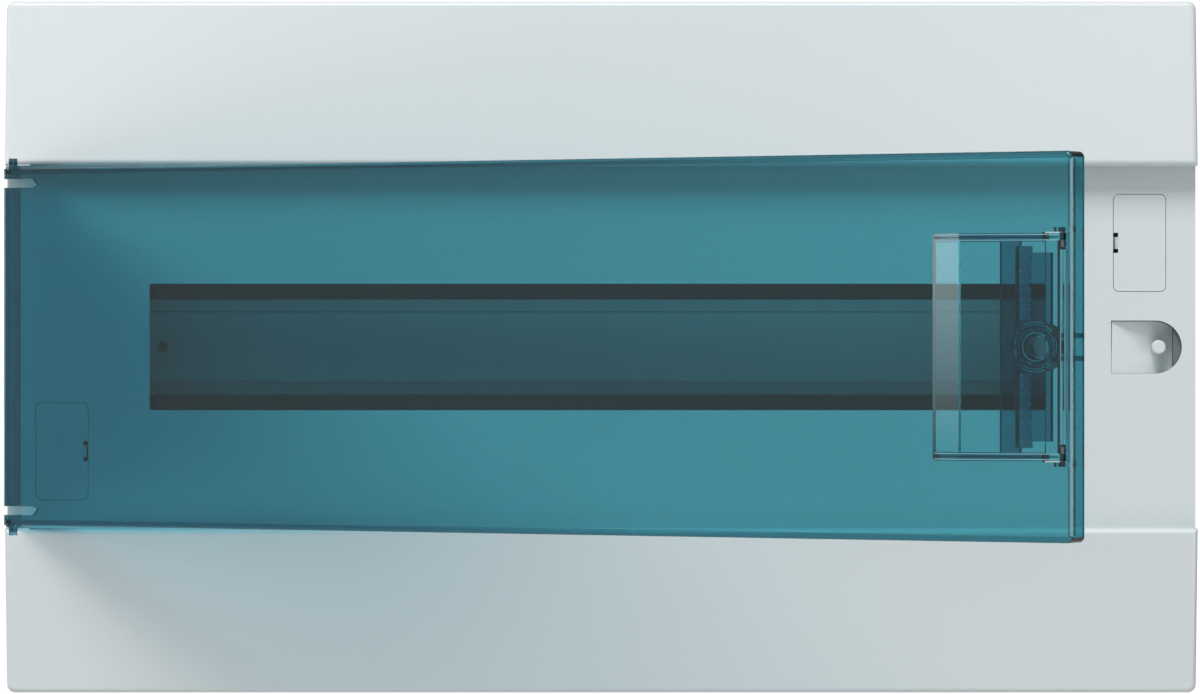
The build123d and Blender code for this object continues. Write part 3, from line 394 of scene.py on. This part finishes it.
def mesh_piece(name, points, faces, body, material, smooth):
    """A mesh object of these points and faces that rides on the body."""
    mesh = bpy.data.meshes.new(name)
    mesh.from_pydata(points.tolist(), [], faces.tolist())
    mesh.polygons.foreach_set("use_smooth", np.full(len(faces), smooth))
    mesh.materials.append(material)
    thing = bpy.data.objects.new(name, mesh)
    bpy.context.scene.collection.objects.link(thing)
    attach(thing, body)
    return thing


def skin_piece(name, grid, facing, body, material, closed=False):
    """A thin closed skin: a grid of points, rows x columns x 3, that looks towards facing, made SKIN thick.

    closed joins its last column to its first."""
    index = np.arange(grid.shape[0] * grid.shape[1]).reshape(grid.shape[:2])
    if closed:
        index = np.concatenate([index, index[:, :1]], axis=1)
    faces = grid_faces(index)
    points = grid.reshape(-1, 3)
    corner, right, _, up = points[faces[0]]
    if np.dot(np.cross(right - corner, up - corner), np.array(facing)) < 0:
        faces = faces[:, ::-1]
    thing = mesh_piece(name, points, faces, body, material, False)
    wall = thing.modifiers.new("wall", "SOLIDIFY")
    wall.thickness = SKIN
    wall.offset = -1


def in_door(u, v, z):
    """World points of arrays of door coordinates, in metres."""
    u, v, z = np.broadcast_arrays(u, v, z)
    return (np.array(hinge) + u[..., None] * np.array(along) + v[..., None] * np.array(inward)
            + z[..., None] * np.array(upward))


# %% [markdown]
# ## Nubs of the latch bay
# The small nubs stiffen the thin walls of the bay and stop the hook from sticking to them. They could be
# bumps in the material, but each catches its own spark of light, so they are real half-sunk spheres; their
# pale opaque colour is a painted highlight for that spark. The rows leave out the middle, where the lock's
# boss fills the bay.

# %% Nubs
NUB_PITCH = 0.0031
NUB_RADIUS = 0.00042
LOCK_HALF = 0.0085
BAY_WALL_U = 0.4046
BAY_WALL_ROWS = (-0.00095, 0.0053)
BAY_FLOOR_ROW = (0.4095, 0.0052)
nub_z = np.arange(-10, 11) * NUB_PITCH
nub_z = nub_z[np.abs(nub_z) > LOCK_HALF]


def nub_rows(name, places, lift_u, lift_v):
    """Round nubs, half sunk in the wall: radius * (cos a, sin a cos b, sin a sin b) for a to 180, b to 360.

    The first of the three is along (lift_u, lift_v) in the door, which is where the nubs' poles point."""
    a = np.linspace(0, math.pi, 8)[:, None]
    b = np.linspace(0, 2 * math.pi, 10, endpoint=False)[None, :]
    lift = NUB_RADIUS * np.cos(a) + 0 * b
    side = NUB_RADIUS * np.sin(a) * np.cos(b)
    rise = NUB_RADIUS * np.sin(a) * np.sin(b)
    index = np.arange(lift.size).reshape(lift.shape)
    one = grid_faces(np.concatenate([index, index[:, :1]], axis=1))
    centres = np.array([(u, v, z) for u, v in places for z in nub_z])[:, None, None, :]
    places_u = centres[..., 0] + lift_u * lift - lift_v * side
    places_v = centres[..., 1] + lift_v * lift + lift_u * side
    points = in_door(places_u, places_v, centres[..., 2] + rise)
    one = outward(points[0].reshape(-1, 3), one)
    faces = (one[None] + np.arange(len(points))[:, None, None] * lift.size).reshape(-1, 4)
    thing = mesh_piece(name, points.reshape(-1, 3), faces, "door", nub_highlight, True)
    poles = thing.modifiers.new("poles", "WELD")
    poles.merge_threshold = 0.000001


# The nubs' pale colour is a painted highlight for the spark each catches.
nub_highlight = moulded_plastic("painted_nub_highlight", (0.50, 0.62, 0.64), 0.3)
nub_rows("bay_wall_nubs", [(BAY_WALL_U, v) for v in BAY_WALL_ROWS], 1, 0)
nub_rows("bay_floor_nubs", [BAY_FLOOR_ROW], 0, -1)
print("nubs:", 3 * len(nub_z))

# %% [markdown]
# ## Rims of the lock
# The edges of the lock's hole and ring catch the light and show as thin pale circles, so each is drawn as a
# pale bead: a painted highlight. A bead, a circle swept round a circle, draws each of them with a round
# section, which a flat ring would not have.

# %% Lock rims
LOCK_U = 0.4087
LOCK_RIMS = (("outer", 0.0004, 0.0082, 0.00013), ("inner", 0.0004, 0.0073, 0.00011),
             ("collar", 0.0011, 0.0046, 0.00020))


def ring(name, u, v, radius, thick, material):
    """A round bead: circle of radius round (u, v) in the door's plane, of this half thickness."""
    turn = np.linspace(0, 2 * math.pi, 96, endpoint=False)[:, None]
    bead = np.linspace(0, 2 * math.pi, 14, endpoint=False)[None, :]
    reach = radius + thick * np.cos(bead)
    points = in_door(u + reach * np.cos(turn), v + thick * np.sin(bead) + 0 * turn, reach * np.sin(turn))
    index = np.arange(turn.size * bead.size).reshape(turn.size, bead.size)
    index = np.concatenate([index, index[:1]], axis=0)
    faces = grid_faces(np.concatenate([index, index[:, :1]], axis=1))
    points = points.reshape(-1, 3)
    mesh_piece(name, points, outward(points, faces), "door", material, True)


# The pale colour of the lock's rim beads is a painted highlight.
rim_highlight = moulded_plastic("painted_rim_highlight", (0.62, 0.80, 0.82), 0.2)
for rim_name, depth, radius, thick in LOCK_RIMS:
    ring("lock_rim_" + rim_name, LOCK_U, depth, radius, thick, rim_highlight)
print("rims:", len(LOCK_RIMS))

# %% [markdown]
# ## Grain of the bay wall
# The bay's wall is eroded to a grain, so it scatters light where the rest of the door lets it through. The
# door is one part with one material, so the grain is a skin laid on that wall, part opaque and part clear.

# %% Grained skin of the bay wall
BAY_SKIN_U = 0.40463
BAY_SKIN_TOP = 0.0330
BAY_SKIN_DEPTHS = np.linspace(-0.0021, 0.0070, 4)[:, None]


def grained_skin(name, colour, share):
    """A grained skin whose two walls together stop this share of the light and let the rest through."""
    material, tree, shader, output = new_material(name)
    shader.inputs["Base Color"].default_value = (*colour, 1)
    grain = noise(tree, 1800.0, 2.0)
    tree.links.new(remap(tree, grain, 0.3, 0.45), shader.inputs["Roughness"])
    bump(tree, shader, grain, 0.00003, 0.6)
    clear = add_node(tree, "ShaderNodeBsdfTransparent")
    mix = add_node(tree, "ShaderNodeMixShader", {"Fac": 1 - math.sqrt(1 - share)})
    tree.links.new(clear.outputs["BSDF"], mix.inputs[1])
    tree.links.new(shader.outputs["BSDF"], mix.inputs[2])
    tree.links.new(mix.outputs["Shader"], output.inputs["Surface"])
    return material


wall_grain = grained_skin("bay_wall_grain", (0.48, 0.58, 0.72), 0.75)
for side_name, low, high in (("upper", LOCK_HALF, BAY_SKIN_TOP), ("lower", -BAY_SKIN_TOP, -LOCK_HALF)):
    grid = in_door(np.array(BAY_SKIN_U), BAY_SKIN_DEPTHS, np.linspace(low, high, 6)[None, :])
    skin_piece("bay_wall_skin_" + side_name, grid, along, "door", wall_grain)
print("wall skins:", 2)

# %% [markdown]
# ## Edge lines of the clear mouldings
# A clear edge gathers light and shows as a thin pale line with a dark one beside it. A path tracer would need
# very many samples to find that light through a thin rounded edge, so ribbons a hundredth of a millimetre
# proud of the moulding carry the lines as painted highlight and painted shade: down the door's free edge,
# along both cheeks of the handle and down its barrel. They are an aid that is right from the front and only
# fair from the side.

# %% Edge lines
def ribbon(name, path, axis, facing, body, material):
    """A ribbon of points path (n x 3 in world space) swept over the two ends of the vector axis."""
    grid = path[None, :, :] + np.array([-0.5, 0.5])[:, None, None] * np.array(axis)[None, None, :]
    skin_piece(name, grid, facing, body, material)


# Pale ribbons are painted highlights and dark ribbons are painted shade.
line_highlight = grained_skin("painted_edge_highlight", (0.24, 0.47, 0.53), 0.8)
line_shade = grained_skin("painted_edge_shade", (0.004, 0.03, 0.04), 0.75)
PROUD = 0.00001
EDGE_U = 0.4236
EDGE_ROUND = 0.0012
EDGE_V = -0.0013
EDGE_TALL = 0.1235
edge_turn = np.radians(np.linspace(15, 62, 5))
round_u = EDGE_U - EDGE_ROUND + (EDGE_ROUND + PROUD) * np.cos(edge_turn)
round_v = EDGE_V - (EDGE_ROUND + PROUD) * np.sin(edge_turn)
round_path = in_door(round_u, round_v, np.array(0.0))
flat_path = in_door(np.full(2, EDGE_U + PROUD), np.array([-0.0009, 0.0006]), np.array(0.0))
ribbon("door_edge_painted_highlight", round_path, (0, 0, EDGE_TALL), along - inward, "door", line_highlight)
ribbon("door_edge_painted_shade", flat_path, (0, 0, EDGE_TALL), along, "door", line_shade)

# %% Lines of the handle
# Along the cheeks the outer and inner lines are painted highlights of the rounded rims, and the middle line
# is painted shade.
CHEEK_RIM = np.array([[0.3756, -0.00733], [0.3866, -0.01101], [0.4190, -0.00268]])
CHEEK_LINES = (("outer", 0.0369, 0.00035, line_highlight), ("inner", 0.03505, 0.00030, line_highlight),
               ("middle", 0.0360, 0.00040, line_shade))
BARREL_RADIUS = 0.0017
BARREL_TALL = 0.0640
BARREL_LINES = (("right", 12, 38), ("left", -30, -22))
FRONT = (0, -1, 0)
for side_name, sign in (("upper", 1), ("lower", -1)):
    for line_name, z, wide, material in CHEEK_LINES:
        path = in_door(CHEEK_RIM[:, 0], CHEEK_RIM[:, 1], np.array(sign * z))
        ribbon("handle_line_" + side_name + "_" + line_name, path, (0, 0, wide), -inward, "handle", material)
# The barrel lines are painted highlights.
for line_name, first, last in BARREL_LINES:
    turn = np.radians(np.linspace(first, last, 4))
    line_x = pivot.x + (BARREL_RADIUS + PROUD) * np.sin(turn)
    line_y = pivot.y - (BARREL_RADIUS + PROUD) * np.cos(turn)
    path = np.stack([line_x, line_y, 0 * turn], axis=-1)
    ribbon("barrel_line_" + line_name, path, (0, 0, BARREL_TALL), FRONT, "handle", line_highlight)
print("edge lines:", 10)

# %% [markdown]
# ## Shade lines of the housing
# The latch pocket and the small notch that a screwdriver goes into are so narrow at their walls that hardly
# any light comes back. Thin dark skins just inside those walls carry that shade, and one lies on the ledge
# that the hook catches under.

# %% Pocket and notch shade
POCKET_LEFT = 0.1845
POCKET_MIDDLE = 0.2005
POCKET_RADIUS = 0.0096
LEDGE_X = 0.2068
LEDGE_DEPTH = 0.0022
LEDGE_LIFT = 0.00003
LEDGE_LINE = 0.00030
RIM_DEPTH = 0.0003
RIM_PULL = 0.00025
RIM_PULL_TILT = 0.00013
NOTCH_WIDE = 0.0005
NOTCH_HALF = 0.00215
shade_dark = grained_skin("pocket_wall_shade", (0.03, 0.032, 0.032), 0.8)
shade_ledge = grained_skin("ledge_shade", (0.10, 0.105, 0.105), 0.62)


def pocket_outline(grow):
    """The pocket's outline, x and z, pulled in by grow times 0.12 mm at the bottom to 0.38 mm at the top."""
    turn = np.linspace(-math.pi / 2, math.pi / 2, 33)
    x = np.concatenate([[POCKET_LEFT], POCKET_MIDDLE + POCKET_RADIUS * np.cos(turn), [POCKET_LEFT]])
    z = np.concatenate([[-POCKET_RADIUS], POCKET_RADIUS * np.sin(turn), [POCKET_RADIUS]])
    pull = grow * (RIM_PULL + RIM_PULL_TILT * z / POCKET_RADIUS)
    middle = (POCKET_LEFT + POCKET_MIDDLE) / 2
    return x - pull * np.clip((x - middle) / POCKET_RADIUS, -1, 1), z - pull * z / POCKET_RADIUS


sides = [pocket_outline(0.1), pocket_outline(1.0)]
rim = np.stack([np.stack([x, np.full(x.shape, band_y + RIM_DEPTH), z], axis=-1) for x, z in sides])
skin_piece("pocket_rim_shade", rim, FRONT, "case", shade_dark, closed=True)
across = np.linspace(LEDGE_X, POCKET_MIDDLE + POCKET_RADIUS - 0.00005, 14)
half = np.sqrt(POCKET_RADIUS ** 2 - (across - POCKET_MIDDLE) ** 2) - SKIN
share = np.linspace(-1, 1, 9)[:, None]
ledge_y = band_y + LEDGE_DEPTH - LEDGE_LIFT
ledge = np.stack(np.broadcast_arrays(across[None, :], ledge_y, share * half[None, :]), axis=-1)
skin_piece("pocket_ledge_shade", ledge, FRONT, "case", shade_ledge)
line_x = np.array([LEDGE_X - SKIN, LEDGE_X + LEDGE_LINE])
line_z = np.linspace(-half[0], half[0], 5)[:, None]
line = np.stack(np.broadcast_arrays(line_x[None, :], ledge_y - LEDGE_LIFT, line_z), axis=-1)
skin_piece("pocket_ledge_line", line, FRONT, "case", shade_dark)
for end in ("upper", "lower"):
    low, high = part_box("screw_cap_" + end)
    middle_z = (low.z + high.z) / 2
    notch_x = np.array([low.x, low.x + NOTCH_WIDE] if end == "upper" else [high.x - NOTCH_WIDE, high.x])
    notch_z = np.array([middle_z - NOTCH_HALF, middle_z + NOTCH_HALF])[:, None]
    strip = np.stack(np.broadcast_arrays(notch_x[None, :], band_y - PROUD, notch_z), axis=-1)
    skin_piece("cap_notch_shade_" + end, strip, FRONT, "cap_" + end, shade_dark)
print("shade skins:", 5)

# %% [markdown]
# ## Lines along the rail
# The rail is rolled from strip, so its bends are round and each shows as a thin dark line, and the lower
# flange is tilted a little to the light. The part has them square, so three long thin skins on its front
# carry the two bends and the flange's sheen.

# %% Rail lines
RAIL_INSET = 0.0005
rail_front = rail_low.y - SKIN
rail_x = np.linspace(rail_low.x + RAIL_INSET, rail_high.x - RAIL_INSET, 9)
rail_pale = grained_skin("rail_lower_flange_sheen", (0.95, 0.97, 0.98), 0.75)
rail_dark = grained_skin("rail_bend_shade", (0.02, 0.022, 0.024), 0.55)
RAIL_LINES = (("upper_bend", 0.0128, 0.0131, rail_dark), ("lower_bend", -0.0131, -0.0128, rail_dark),
              ("lower_flange", -0.0173, -0.0132, rail_pale))
for line_name, low, high, material in RAIL_LINES:
    heights = np.array([low, high])[:, None]
    flat = np.stack(np.broadcast_arrays(rail_x[None, :], rail_front, heights), axis=-1)
    skin_piece("rail_" + line_name + "_line", flat, FRONT, "case", material)
print("rail lines:", len(RAIL_LINES))

# %% [markdown]
# ## Stage, light and camera
# The box hangs on nothing but light: a pale floor well below it, a bright sky behind and above, and soft
# lamps in front. The camera looks straight at the front through a long lens.

# %% Floor
def pale_floor(height, reach):
    """A square of pale floor at this height, with a faint mottle."""
    mesh = bpy.data.meshes.new("pale_floor")
    ground = ((-reach, -reach), (reach, -reach), (reach, reach), (-reach, reach))
    corners = [(x, y, height) for x, y in ground]
    mesh.from_pydata(corners, [], [(0, 1, 2, 3)])
    floor = bpy.data.objects.new("pale_floor", mesh)
    bpy.context.scene.collection.objects.link(floor)
    material, tree, shader, _ = new_material("pale_floor_paint")
    mottle = noise(tree, 5.0, 2.0)
    tree.links.new(tint(tree, mottle, (0.80, 0.80, 0.80), (0.83, 0.83, 0.83)), shader.inputs["Base Color"])
    shader.inputs["Roughness"].default_value = 0.7
    mesh.materials.append(material)


FLOOR_DROP = 1.0
FLOOR_REACH = 6.0
pale_floor(cad_box[0].z - FLOOR_DROP, FLOOR_REACH)

# %% Sky
TOWARDS = (-0.8, -0.45, 0.4)
ROOM = {"To Min": 0.08, "To Max": 0.71}
BACKDROP = 1.02


def studio_sky():
    """A white backdrop behind the box, and for everything it lights and mirrors a soft room.

    The room's brightness follows the direction's share along TOWARDS: brightest at the front left."""
    world = bpy.data.worlds.new("studio_sky")
    bpy.context.scene.world = world
    world.use_nodes = True
    tree = world.node_tree
    tree.nodes.clear()
    output = tree.nodes.new("ShaderNodeOutputWorld")
    place = add_node(tree, "ShaderNodeTexCoord")
    share = add_node(tree, "ShaderNodeVectorMath", operation="DOT_PRODUCT")
    share.inputs[1].default_value = TOWARDS
    fade = add_node(tree, "ShaderNodeMapRange", {"From Min": -1.0, "From Max": 1.0, **ROOM})
    room = add_node(tree, "ShaderNodeBackground", {"Color": (1, 1, 1, 1)})
    backdrop = add_node(tree, "ShaderNodeBackground", {"Color": (1, 1, 1, 1), "Strength": BACKDROP})
    path = add_node(tree, "ShaderNodeLightPath")
    mix = add_node(tree, "ShaderNodeMixShader")
    tree.links.new(place.outputs["Generated"], share.inputs[0])
    tree.links.new(share.outputs["Value"], fade.inputs["Value"])
    tree.links.new(fade.outputs["Result"], room.inputs["Strength"])
    tree.links.new(path.outputs["Is Camera Ray"], mix.inputs["Fac"])
    tree.links.new(room.outputs["Background"], mix.inputs[1])
    tree.links.new(backdrop.outputs["Background"], mix.inputs[2])
    tree.links.new(mix.outputs["Shader"], output.inputs["Surface"])


studio_sky()

# %% Lamps
def soft_lamp(name, place, target, size, power, height=None):
    """An area lamp at place that faces target: size wide, and as tall unless a height is given."""
    data = bpy.data.lights.new(name, "AREA")
    data.shape = "RECTANGLE"
    data.size = size
    data.size_y = height or size
    data.energy = power
    lamp = bpy.data.objects.new(name, data)
    bpy.context.scene.collection.objects.link(lamp)
    lamp.location = place
    lamp.rotation_euler = (Vector(target) - Vector(place)).to_track_quat("-Z", "Y").to_euler()
    lamp.visible_camera = False
    return lamp


def glow_card(name, x, near, far, low, high, dim, bright):
    """An upright glowing sheet across X, from dim at the height low to bright at the height high."""
    mesh = bpy.data.meshes.new(name)
    reach = (high - low) * 2
    corners = [(x, near, low - reach), (x, far, low - reach), (x, far, high + reach), (x, near, high + reach)]
    mesh.from_pydata(corners, [], [(0, 1, 2, 3)])
    sheet = bpy.data.objects.new(name, mesh)
    bpy.context.scene.collection.objects.link(sheet)
    material, tree, shader, _ = new_material(name + "_light")
    shader.inputs["Base Color"].default_value = (0, 0, 0, 1)
    shader.inputs["Emission Color"].default_value = (0.80, 0.97, 1, 1)
    place = add_node(tree, "ShaderNodeTexCoord")
    split = add_node(tree, "ShaderNodeSeparateXYZ")
    rise = {"From Min": low, "From Max": high, "To Min": dim, "To Max": bright}
    fade = add_node(tree, "ShaderNodeMapRange", rise)
    tree.links.new(place.outputs["Object"], split.inputs["Vector"])
    tree.links.new(split.outputs["Z"], fade.inputs["Value"])
    tree.links.new(fade.outputs["Result"], shader.inputs["Emission Strength"])
    mesh.materials.append(material)
    sheet.visible_camera = False
    sheet.visible_transmission = False


centre = Vector((0, front_y, 0))
soft_lamp("key_above", (-0.15, front_y - 1.2, 1.75), centre, size=0.85, power=37)
soft_lamp("fill_below", (0.2, front_y - 1.2, -0.75), centre, size=0.8, power=2.6)
glow_card("card_left", -1.0, front_y - 0.27, front_y + 0.23, low=-0.060, high=0.045, dim=0.45, bright=4.7)
card_right = soft_lamp("card_right", (1.1, front_y - 0.35, 0.0), centre, size=1.3, power=5.2, height=0.3)
card_right.visible_diffuse = False
card_right.visible_transmission = False

# %% Camera
LENS = 189.4
SENSOR = 36.0
CAMERA_X = -0.0005
CAMERA_AWAY = 2.275
camera_data = bpy.data.cameras.new("front_camera")
camera_data.lens = LENS
camera_data.sensor_width = SENSOR
camera = bpy.data.objects.new("front_camera", camera_data)
bpy.context.scene.collection.objects.link(camera)
camera.location = (CAMERA_X, front_y - CAMERA_AWAY, 0.0)
camera.rotation_euler = (math.radians(90), 0, 0)
bpy.context.scene.camera = camera
bpy.context.scene.view_settings.view_transform = "Standard"
print("camera at", tuple(round(v, 3) for v in camera.location))
